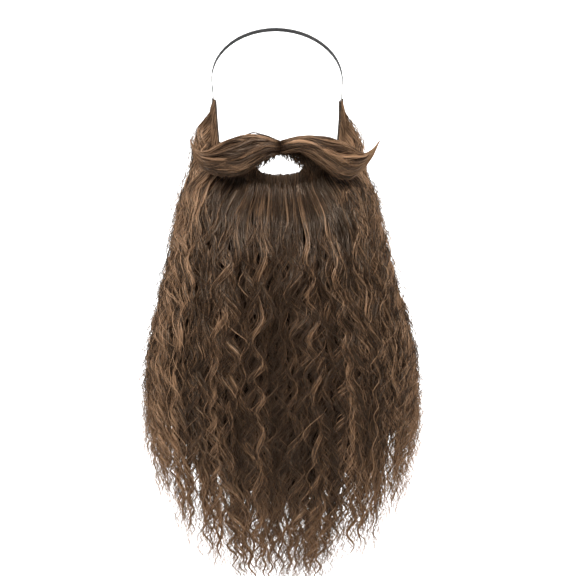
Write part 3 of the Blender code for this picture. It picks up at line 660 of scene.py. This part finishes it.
# the inner cheek layer has a lower tone and the darker hair material: painted shade inside the beard
cheekLayers = {
    "Outer": cheekStyle,
    "Inner": {
        **cheekStyle, "seed": 22, "angles": (42, 104), "depth": (0.35, 1.0), "locks": 26, "parts": (("", 8, 0.00042),),
        "steps": 42, "bodySteps": 42, "bodySides": 6, "length": 0.98, "tone": -0.2,
    },
    "Sideburn": {
        **cheekStyle, "seed": 23, "angles": (66, 107), "depth": (0.0, 0.5), "locks": 30, "parts": (("", 20, 0.00036),),
        "steps": 26, "bodySteps": 22, "bodySides": 6, "bodyShort": 0.03, "length": 0.16, "ragged": 0.12, "thinning": 0.1,
        "rootBottom": 0.35, "loose": 0.06, "straight": 0.004, "easing": 0.03, "sway": 0.0040, "forward": 0.3, "curl": 0.2,
        "tone": 0.12,
    },
}
strayStyle = {
    **hairStyle, "seed": 27, "angles": (-105, 105), "depth": (0.0, 0.15), "locks": 150, "parts": (("", 1, 0.0005),),
    "steps": 76, "bodySteps": 0, "loose": 1.0, "length": 1.08, "ragged": 0.08, "thinning": 0.05, "inset": -0.001,
    "straight": 0.06, "easing": 0.08, "waveDrift": 2.5, "pitchSpread": 0.25, "sway": 0.0060, "drift": 0.006, "tone": -0.15,
}
seedStep = 5  # between the cheeks' seeds

for layerName, hair in chinLayers.items():
    material = beardHair if layerName == "Outer" else shadedHair
    growHair(f"chinHair{layerName}", hair, material)
growHair("strayCurls", strayStyle, beardHair)
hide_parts("chin_hair")
for sideName, sign in (("Left", -1), ("Right", 1)):
    for layerName, hair in cheekLayers.items():
        low, high = sorted(sign * a for a in hair["angles"])
        style = {**hair, "angles": (low, high), "seed": hair["seed"] + seedStep * (sign > 0)}
        material = shadedHair if layerName == "Inner" else beardHair
        pieces = growHair(f"cheekHair{sideName}{layerName}", style, material)
        if layerName == "Outer":
            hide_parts(f"cheek_hair_{sideName.lower()}")

# short hair along the upper edge of the net, closer together where the edge is steep
edgeStyle = {
    "seed": 31, "strands": 320, "tries": 4, "steps": 9, "length": (0.016, 0.034), "radius": 0.0004, "above": 0.0016,
    "slopeStep": 0.5, "flatEdge": 1.1, "steepEdge": 8,  # degrees, then mm of edge in a degree
    "lean": 1.5, "leanSpread": 2.5, "leanPower": 1.5, "ahead": 0, "netShare": 0.9,
    "out": 0.0012, "outSpread": 0.0005, "bulge": 0.0045, "bulgeTurn": 0.62, "bulges": (0.5, 1.1),
    "radii": (0.7, 1.2), "along": [0, 0.2, 1], "taper": [0.8, 1, 0.4], "tone": 0.14, "toneSpread": 0.18,
}
cheekEdge = {**edgeStyle, "seed": 33}
sideburnEdge = {**edgeStyle, "seed": 35, "strands": 560, "steps": 14, "length": (0.030, 0.060), "radius": 0.00036,
                "tone": 0.45, "ahead": 2.4}


def shortHair(name, form, sign, lean, height, out, t, material, rng):
    total = len(lean)
    bulge = form["bulge"] * np.sin(np.pi * t * form["bulgeTurn"]) * rng.uniform(*form["bulges"], total)[:, None]
    paths = facePoint(sign * lean, height, netForm["wall"] * form["netShare"] + (out + bulge))
    radii = taperedRadii(rng, form, form["radius"], total, t)
    tones = np.clip(rng.normal(form["tone"], form["toneSpread"], total), 0, 1)[:, None] + 0 * height
    strandPiece(name, paths, radii, tones, outFacing(sign * lean), material)


def edgeHair(name, edge, sign, material, angles):
    rng = np.random.default_rng(edge["seed"] + (sign > 0))
    tries = edge["strands"] * edge["tries"]
    degrees = rng.uniform(*angles, tries)
    top = netEdge(degrees, "top")
    slope = np.abs(netEdge(degrees + edge["slopeStep"], "top") - netEdge(degrees - edge["slopeStep"], "top"))
    keep = rng.random(tries) < np.hypot(edge["flatEdge"], slope) / edge["steepEdge"]
    degrees, top = degrees[keep][:edge["strands"]], top[keep][:edge["strands"]]
    total = len(degrees)
    t = np.linspace(0, 1, edge["steps"])
    length = rng.uniform(*edge["length"], total)
    height = (top / 1000 + rng.uniform(-0.2, 1, total) * edge["above"])[:, None] - length[:, None] * t
    degrees = degrees - rng.uniform(0, 1, total) * edge["ahead"]
    lean = np.radians(rng.normal(edge["lean"], edge["leanSpread"], total))[:, None] * t ** edge["leanPower"]
    lean = np.radians(degrees)[:, None] + lean
    out = edge["out"] + edge["outSpread"] * rng.uniform(0, 1, total)[:, None]
    shortHair(name, edge, sign, lean, height, out, t, material, rng)


for sideName, sign in (("Left", -1), ("Right", 1)):
    # chin and cheek edge hair use the darker hair material as painted shade, at the chin the shadow under the lip
    edgeHair(f"chinEdgeHair{sideName}", edgeStyle, sign, shadedHair, (0, 45))
    edgeHair(f"cheekEdgeHair{sideName}", cheekEdge, sign, shadedHair, (45, 70))
    edgeHair(f"sideburnEdgeHair{sideName}", sideburnEdge, sign, beardHair, (68, 95))

# matted hair behind the strands, dark with painted shade; hem and ripple are size, turns and phase
backingStyle = {
    "angles": (-44, 44), "columns": 80, "rows": 50, "top": 0.40, "rise": 0.085, "hem": ((0.012, 41, 0), (0.008, 97, 1)),
    "inset": 0.0135, "netOut": 0.0006, "thickness": 0.002,
    "ripple": 0.0022, "rippleStart": 0.05, "locks": 62, "rippleBend": 1.6, "rippleTurns": 118,
}
cheekBacking = {**backingStyle, "angles": (41, 105), "columns": 60, "top": 0.75}


def hairBacking(name, backing, sign):
    low, high = np.radians(sorted(sign * a for a in backing["angles"]))
    bm = bmesh.new()
    bmesh.ops.create_grid(bm, x_segments=backing["columns"], y_segments=backing["rows"], size=0.5)
    uv = np.array([(v.co.x + 0.5, v.co.y + 0.5) for v in bm.verts])
    angle = low + (high - low) * uv[:, 0]
    rootAngle, top = rootPlace(angle, np.full(len(angle), backing["top"]))
    bottom = -hairDrop(angle) + backing["rise"]
    for size, turns, phase in backing["hem"]:
        bottom = bottom + size * np.sin(angle * turns + phase)
    height = bottom + (top - bottom) * uv[:, 1]
    drop = top - height
    fallen = hairPoint(angle, height, backing["inset"])
    rooted = facePoint(rootAngle, top, netForm["wall"] + backing["netOut"])
    place = rooted + (fallen - rooted) * smoothShare(drop / hairForm["reach"])[:, None]
    place[:, 2] = height
    bend = backing["rippleBend"] * np.sin(drop * backing["rippleTurns"])
    ripple = backing["ripple"] * smoothShare(drop / backing["rippleStart"]) * np.sin(angle * backing["locks"] + bend)
    place += outFacing(angle) * ripple[:, None]
    for v, p in zip(bm.verts, place):
        v.co = p
    bmesh.ops.recalc_face_normals(bm, faces=bm.faces)
    obj = newPiece(name, bm, shadedMattedHair)
    wall = obj.modifiers.new("thickness", "SOLIDIFY")
    wall.thickness = backing["thickness"]
    wall.offset = 0


hairBacking("chinBacking", backingStyle, 1)
for sideName, sign in (("Left", -1), ("Right", 1)):
    hairBacking(f"cheekBacking{sideName}", cheekBacking, sign)
print("beard done")

# the moustache's wings: distance out, height, forward, half height and half depth of each section, in mm
wings = {
    "Right": [
        (0.3, 49.8, 9.9, 7.2, 7), (10, 51.7, 12.6, 7.8, 8.4), (20.7, 53.6, 14.3, 8, 9), (33.6, 50.8, 15.4, 11.3, 10.5),
        (44.8, 46.1, 13.7, 14.6, 11.2), (56, 40.9, 8.8, 18.3, 11.5), (67.2, 36.4, 3.3, 20.2, 11), (77.3, 34.1, -1.1, 18.8, 9.7),
        (86.8, 33.8, -4.4, 12.2, 7.7), (95.2, 36.9, -6, 7, 5.5), (103.6, 45.1, -5.5, 4.2, 3.5), (112, 60.2, -3.3, 0.8, 0.8),
    ],
    "Left": [
        (0.3, 49.8, 9.9, 7.2, 7), (14.6, 50.3, 13.7, 11.0, 9), (29.7, 46.0, 15.4, 17.2, 11), (44.8, 40.4, 12.6, 20.2, 11.9),
        (58.2, 38.6, 7.1, 19.0, 11.5), (69.4, 36.2, 1.1, 15.6, 9.9), (78.4, 35.0, -3.3, 11.6, 7.9), (86.8, 36.4, -5.5, 8.5, 6),
        (94.1, 43.7, -5.5, 5.6, 4), (100.2, 61.1, -2.8, 0.8, 0.8),
    ],
}
lineForm = {"samples": 200, "smoothing": 13}
coreForm = {"sections": 26, "end": 0.97, "share": 0.78, "sides": 16}
# the right wing's higher tone is painted light from the key lamp on the right
wingStyle = {
    "seed": 51, "locks": 46, "strands": 18, "steps": 26, "tones": {-1: 0.0, 1: 0.15}, "toneSpread": 0.22,
    "gap": (0, 0.8), "bend": 0.32, "rings": (0.82, 1.0), "finishSpread": 0.06,
    "startShape": (0.8, 2.6), "startScale": 0.55, "startShift": 0.03, "latestStart": 0.45,
}
# how a lock runs along a wing: its width and bends round the section, and ripples in and out
combForm = {
    "width": 0.09, "narrowing": 0.45, "bendTurns": 4.6, "fan": 0.35, "fanMiddle": 0.4,
    "ripple": 0.055, "rippleTurns": 13, "weave": 0.10, "weaveTurns": 11, "ownTurns": (4, 12), "lower": 1.7,
}
wingBody = {
    "inset": 0.03, "width": 0.0021, "share": 0.24, "along": [0, 0.08, 0.6, 1], "taper": [0.5, 1, 0.9, 0.2],
    "tone": 0.10, "lower": 0.14, "sides": 8, "flat": 0.5, "edgeShade": 0.2,
}
wingStrands = {
    "radius": 0.00027, "radii": (0.75, 1.3), "looseRadius": 0.8, "along": [0, 0.1, 0.75, 1], "taper": [0.7, 1, 0.9, 0.5],
    "loose": 0.2, "startSpread": 0.04, "latestStart": 0.5, "finishSpread": 0.05, "looseFinish": 0.3, "shortest": 0.2,
    "looseWidth": 2.2, "out": 0.03, "outSpread": 0.035, "crown": 0.02, "looseOut": 0.16, "own": 0.12,
    "tone": 0.22, "ownTone": 0.55, "edge": 0.04, "lower": 0.18,
}


def wingLine(rows, t):  # sections at shares along the wing
    rows = np.array(rows, float) / 1000
    reach = np.r_[0, np.cumsum(np.linalg.norm(np.diff(rows[:, :2], axis=0), axis=1))]
    reach /= reach[-1]
    fine = np.linspace(0, 1, lineForm["samples"])
    rough = np.stack([np.interp(fine, reach, rows[:, k]) for k in range(5)], -1)
    kernel = np.hanning(lineForm["smoothing"]) / np.hanning(lineForm["smoothing"]).sum()
    half = lineForm["smoothing"] // 2
    padded = np.pad(rough, ((half, half), (0, 0)), mode="reflect", reflect_type="odd")
    eased = np.stack([np.convolve(padded[:, k], kernel, "valid") for k in range(5)], -1)
    return np.stack([np.interp(t, fine, eased[:, k]) for k in range(5)], -1)


def wingCore(name, sign, rows):
    bm = bmesh.new()
    loops = []
    size = coreForm["share"]
    for out, up, forward, high, deep in wingLine(rows, np.linspace(0, coreForm["end"], coreForm["sections"])):
        made = bmesh.ops.create_circle(bm, segments=coreForm["sides"], radius=1.0)
        shape = Matrix.Translation((sign * out, -forward, up)) @ Matrix.Diagonal((1, deep * size, high * size, 1))
        bmesh.ops.transform(bm, matrix=shape @ Matrix.Rotation(math.pi / 2, 4, "Y"), verts=made["verts"])
        loops.append([e for e in bm.edges if all(v in made["verts"] for v in e.verts)])
    for first, second in zip(loops, loops[1:]):
        bmesh.ops.bridge_loops(bm, edges=first + second)
    bmesh.ops.contextual_create(bm, geom=loops[0])
    bmesh.ops.contextual_create(bm, geom=loops[-1])
    bmesh.ops.recalc_face_normals(bm, faces=bm.faces)
    newPiece(name, bm, shadedCombedCore)


def sowWingLocks(sign, rng):
    form, locks = wingStyle, wingStyle["locks"]
    lock = {"turn": 2 * np.pi * (np.arange(locks) + rng.uniform(*form["gap"], locks)) / locks}
    lock["tone"] = form["tones"][sign] + rng.normal(0, form["toneSpread"], locks)
    lock["bend"] = rng.normal(0, form["bend"], locks)
    lock["phase"] = rng.uniform(*anyPhase, locks)
    lock["ring"] = rng.uniform(*form["rings"], locks)
    lock["finish"] = 1 - np.abs(rng.normal(0, form["finishSpread"], locks))
    start = rng.beta(*form["startShape"], locks) * form["startScale"] - form["startShift"]
    lock["start"] = np.clip(start, 0.0, form["latestStart"])
    return lock


def combedHair(sign, rows, lock, which, p, ring, start, finish, t, own, rng):
    form = combForm
    along = start[:, None] + (finish - start)[:, None] * t
    line = wingLine(rows, along.reshape(-1)).reshape(len(which), len(t), 5)
    turn, phase = lock["turn"][which][:, None], lock["phase"][which][:, None]
    section = turn + form["width"] * p[:, None] * (1 - form["narrowing"] * t)
    section = section + lock["bend"][which][:, None] * np.sin(along * form["bendTurns"] + phase)
    section = section + form["fan"] * np.cos(turn) * (along - form["fanMiddle"])
    section = section + form["weave"] * np.sin(along * form["weaveTurns"] + 2 * phase)
    ring = ring[:, None] * (1 + form["ripple"] * np.sin(along * form["rippleTurns"] + phase))
    if own:
        size = own * rng.normal(0, 1, (len(which), 1))
        turns = rng.uniform(*form["ownTurns"], (len(which), 1))
        section = section + size * np.sin(along * turns + rng.uniform(*anyPhase, (len(which), 1)))
    x = sign * line[..., 0]
    y = -line[..., 2] - line[..., 4] * ring * np.cos(section)
    z = line[..., 1] + line[..., 3] * ring * np.sin(section)
    # painted highlight along the lower front of the wing
    lower = np.clip(-np.sin(section) * np.cos(section).clip(0, 1) * form["lower"], 0, 1)
    return {
        "paths": np.stack([x, y, z], -1), "facing": np.stack([0 * x, y + line[..., 2] - 1e-5, z - line[..., 1]], -1),
        "lower": lower, "halfHeight": line[..., 3],
    }


def wingHair(name, sign, rows):
    rng = np.random.default_rng(wingStyle["seed"] + (sign > 0))
    lock = sowWingLocks(sign, rng)
    t = np.linspace(0, 1, wingStyle["steps"])
    which = np.arange(wingStyle["locks"])
    form = wingBody
    ring = lock["ring"] - form["inset"]
    comb = combedHair(sign, rows, lock, which, np.zeros(len(which)), ring, lock["start"], lock["finish"], t, 0.0, rng)
    halfWidth = np.minimum(form["width"], form["share"] * comb["halfHeight"]) * np.interp(t, form["along"], form["taper"])
    # the lower front of each lock body is lighter: painted highlight
    tones = form["tone"] + lock["tone"][:, None] + form["lower"] * comb["lower"]
    body = strandPiece(name + "Locks", comb["paths"], halfWidth, tones, comb["facing"], moustacheHair,
                       sides=form["sides"], flat=form["flat"], edgeShade=form["edgeShade"])

    form = wingStrands
    which = np.repeat(which, wingStyle["strands"])
    total = len(which)
    loose = rng.random(total) < form["loose"]
    start = np.clip(lock["start"][which] + rng.normal(0, form["startSpread"], total), 0, form["latestStart"])
    finish = lock["finish"][which] - np.abs(rng.normal(0, form["finishSpread"], total))
    finish = finish - np.where(loose, rng.uniform(0, form["looseFinish"], total), 0)
    finish = np.clip(finish, start + form["shortest"], 1.0)
    p = rng.normal(0, 1, total) * np.where(loose, form["looseWidth"], 1)
    ring = lock["ring"][which] + form["out"] + form["outSpread"] * rng.normal(0, 1, total) - form["crown"] * p**2
    ring = ring + np.where(loose, rng.uniform(0, form["looseOut"], total), 0)
    comb = combedHair(sign, rows, lock, which, p, ring, start, finish, t, form["own"], rng)
    radii = taperedRadii(rng, form, form["radius"], total, t, loose)
    tones = form["tone"] + lock["tone"][which] + scatterTone(rng, form["ownTone"], total)
    # painted shade at the edges of each lock, and painted highlight on the wing's lower front
    tones = (tones - form["edge"] * p**2)[:, None] + form["lower"] * comb["lower"]
    strandPiece(name, comb["paths"], radii, tones, comb["facing"], moustacheHair)
    return body


# short hair that hangs from the strip, darkened as painted shade under the moustache, longer towards the ends of the
# opening
stripStyle = {
    "seed": 61, "strands": 330, "steps": 10, "radius": 0.0004, "reach": 31,
    "top": 0.0465, "topSpread": 0.005, "topDrop": 0.004, "dropStart": 18, "dropSpan": 12,
    "degrees": [0, 6, 12, 20, 31], "lengths": [0.005, 0.012, 0.020, 0.025, 0.026], "lengthSpread": (0.6, 1.15),
    "lean": 7, "leanSpread": 3, "leanPower": 1.3, "leanStart": 10,
    "netShare": 1, "out": 0.0018, "bulge": 0.005, "bulgeTurn": 0.75, "bulges": (0.4, 1.1),
    "radii": (0.7, 1.2), "along": [0, 0.2, 1], "taper": [0.8, 1, 0.35], "tone": 0.15, "toneSpread": 0.13,
}


def stripHair(name, sign):
    form, total = stripStyle, stripStyle["strands"]
    rng = np.random.default_rng(form["seed"] + (sign > 0))
    degrees = rng.uniform(0, form["reach"], total)
    t = np.linspace(0, 1, form["steps"])
    top = form["top"] + form["topSpread"] * rng.uniform(-1, 1, total)
    top = top - form["topDrop"] * smoothShare((degrees - form["dropStart"]) / form["dropSpan"])
    length = np.interp(degrees, form["degrees"], form["lengths"]) * rng.uniform(*form["lengthSpread"], total)
    lean = np.radians(rng.normal(form["lean"], form["leanSpread"], total))[:, None] * t ** form["leanPower"]
    lean = np.radians(degrees)[:, None] + lean * smoothShare(degrees / form["leanStart"])[:, None]
    height = top[:, None] - length[:, None] * t
    shortHair(name, form, sign, lean, height, form["out"], t, shadedHair, rng)


for sideName, sign in (("Left", -1), ("Right", 1)):
    wingCore(f"wingCore{sideName}", sign, wings[sideName])
    locks = wingHair(f"wingHair{sideName}", sign, wings[sideName])
    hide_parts(f"moustache_{sideName.lower()}")
    stripHair(f"lipHair{sideName}", sign)
print("moustache done")

# net base and elastic keep their own solids and get a knotted net and a ribbed weave
netLook = {"scale": 420.0, "thread": (0.05, 0.16), "dark": (0.020, 0.012, 0.008, 1), "light": (0.085, 0.056, 0.038, 1),
           "relief": 0.6, "reliefDepth": 0.0006, "roughness": 0.75}
elasticLook = {"scale": 320.0, "distortion": 0.4, "dark": (0.010, 0.010, 0.011, 1), "light": (0.035, 0.033, 0.034, 1),
               "relief": 0.5, "reliefDepth": 0.0004, "roughness": 0.7}


def netMaterial():
    material, tree, shader = newMaterial("knottedNet")
    cells = objectTexture(tree, "ShaderNodeTexVoronoi", Scale=netLook["scale"], feature="DISTANCE_TO_EDGE")
    thread = mapRange(tree, cells.outputs["Distance"], *netLook["thread"], 1.0, 0.0)
    twoColours(tree, shader, netLook, thread, thread, netLook["roughness"])
    return material


def elasticMaterial():
    material, tree, shader = newMaterial("wovenElastic")
    ribs = objectTexture(tree, "ShaderNodeTexWave", Scale=elasticLook["scale"], wave_type="BANDS", bands_direction="Z",
                         Distortion=elasticLook["distortion"]).outputs["Fac"]
    twoColours(tree, shader, elasticLook, ribs, ribs, elasticLook["roughness"])
    return material


knottedNet = netMaterial()
wovenElastic = elasticMaterial()
for nodeName in ("face_base", "moustache_base"):
    cadNodes[nodeName].material_slots[0].material = knottedNet
for nodeName in ("elastic_strap", "strap_patch_left", "strap_patch_right"):
    cadNodes[nodeName].material_slots[0].material = wovenElastic
print("net and elastic done")

# pale room, lights and camera
roomForm = {"floor": -0.80, "wall": 3.4, "cove": 0.6, "coveSteps": 12, "half": 1.9, "front": -1.8, "top": 3.6,
            "colour": (0.92, 0.92, 0.92, 1), "roughness": 0.9}
lights = {
    "keyLight": {"place": (1.1, -1.6, 1.8), "target": (0, 0, -0.1), "size": (0.6, 0.6), "power": 84},
    "fillLight": {"place": (-1.2, -1.6, 1.6), "target": (0, 0, -0.1), "size": (0.6, 0.6), "power": 76},
    "topLight": {"place": (0.0, 0.2, 1.9), "target": (0, 0, 0), "size": (1.2, 1.2), "power": 24},
    "wallLightRight": {"place": (1.7, 1.7, 0.6), "target": (0.4, 3.4, -0.2), "size": (0.8, 1.8), "power": 75},
    "wallLightLeft": {"place": (-1.7, 1.7, 0.6), "target": (-0.4, 3.4, -0.2), "size": (0.8, 1.8), "power": 75},
}
worldLight = {"seen": 0.8, "cast": 0.2}  # white behind the object, dimmer as a light
cameraForm = {"lens": 130.4, "sensor": 36, "distance": 2.4, "aim": (0.0125, 0.093, -0.105), "turn": 2.2}


def buildRoom():
    form = roomForm
    material, tree, shader = newMaterial("palePaper")
    shader.inputs["Base Color"].default_value = form["colour"]
    shader.inputs["Roughness"].default_value = form["roughness"]
    coveStart = form["wall"] - form["cove"]
    bm = bmesh.new()
    ends = [bm.verts.new((x, form["front"], form["floor"])) for x in (-form["half"], form["half"])]
    edge = bm.edges.new(ends)
    for move in ((0, coveStart - form["front"], 0), None, (0, 0, form["top"])):
        if move is None:
            centre = (0, coveStart, form["floor"] + form["cove"])
            made = bmesh.ops.spin(bm, geom=[edge, *edge.verts], cent=centre, axis=(1, 0, 0), angle=math.pi / 2,
                                  steps=form["coveSteps"])["geom_last"]
        else:
            made = bmesh.ops.extrude_edge_only(bm, edges=[edge])["geom"]
        edge = [e for e in made if isinstance(e, bmesh.types.BMEdge)][0]
        if move:
            bmesh.ops.translate(bm, verts=list(edge.verts), vec=move)
    bmesh.ops.recalc_face_normals(bm, faces=bm.faces)
    mesh = bpy.data.meshes.new("room")
    bm.to_mesh(mesh)
    bm.free()
    mesh.shade_smooth()
    mesh.materials.append(material)
    addObject("room", mesh)


def addLight(name, form):
    light = bpy.data.lights.new(name, "AREA")
    light.shape = "RECTANGLE"
    light.size, light.size_y = form["size"]
    light.energy = form["power"]
    obj = addObject(name, light)
    obj.location = form["place"]
    obj.rotation_euler = (Vector(form["target"]) - Vector(form["place"])).to_track_quat("-Z", "Y").to_euler()


def addWorld():
    world = bpy.data.worlds.new("paleRoom")
    world.use_nodes = True
    tree = world.node_tree
    background = tree.nodes["Background"]
    background.inputs["Color"].default_value = (1, 1, 1, 1)
    sight = tree.nodes.new("ShaderNodeLightPath")
    strength = mathNode(tree, "MULTIPLY_ADD", sight.outputs["Is Camera Ray"], worldLight["seen"], worldLight["cast"])
    tree.links.new(strength, background.inputs["Strength"])
    bpy.context.scene.world = world
    bpy.context.scene.view_settings.view_transform = "Standard"


def addCamera():
    form = cameraForm
    camera = bpy.data.cameras.new("camera")
    camera.lens = form["lens"]
    camera.sensor_width = form["sensor"]
    obj = addObject("camera", camera)
    turn = math.radians(form["turn"])  # the beard is turned a little in the photo
    x, y, z = form["aim"]
    obj.location = (x - form["distance"] * math.sin(turn), y - form["distance"] * math.cos(turn), z)
    obj.rotation_euler = (math.pi / 2, 0, -turn)
    bpy.context.scene.camera = obj


buildRoom()
for name, form in lights.items():
    addLight(name, form)
addWorld()
addCamera()
print("scene done")
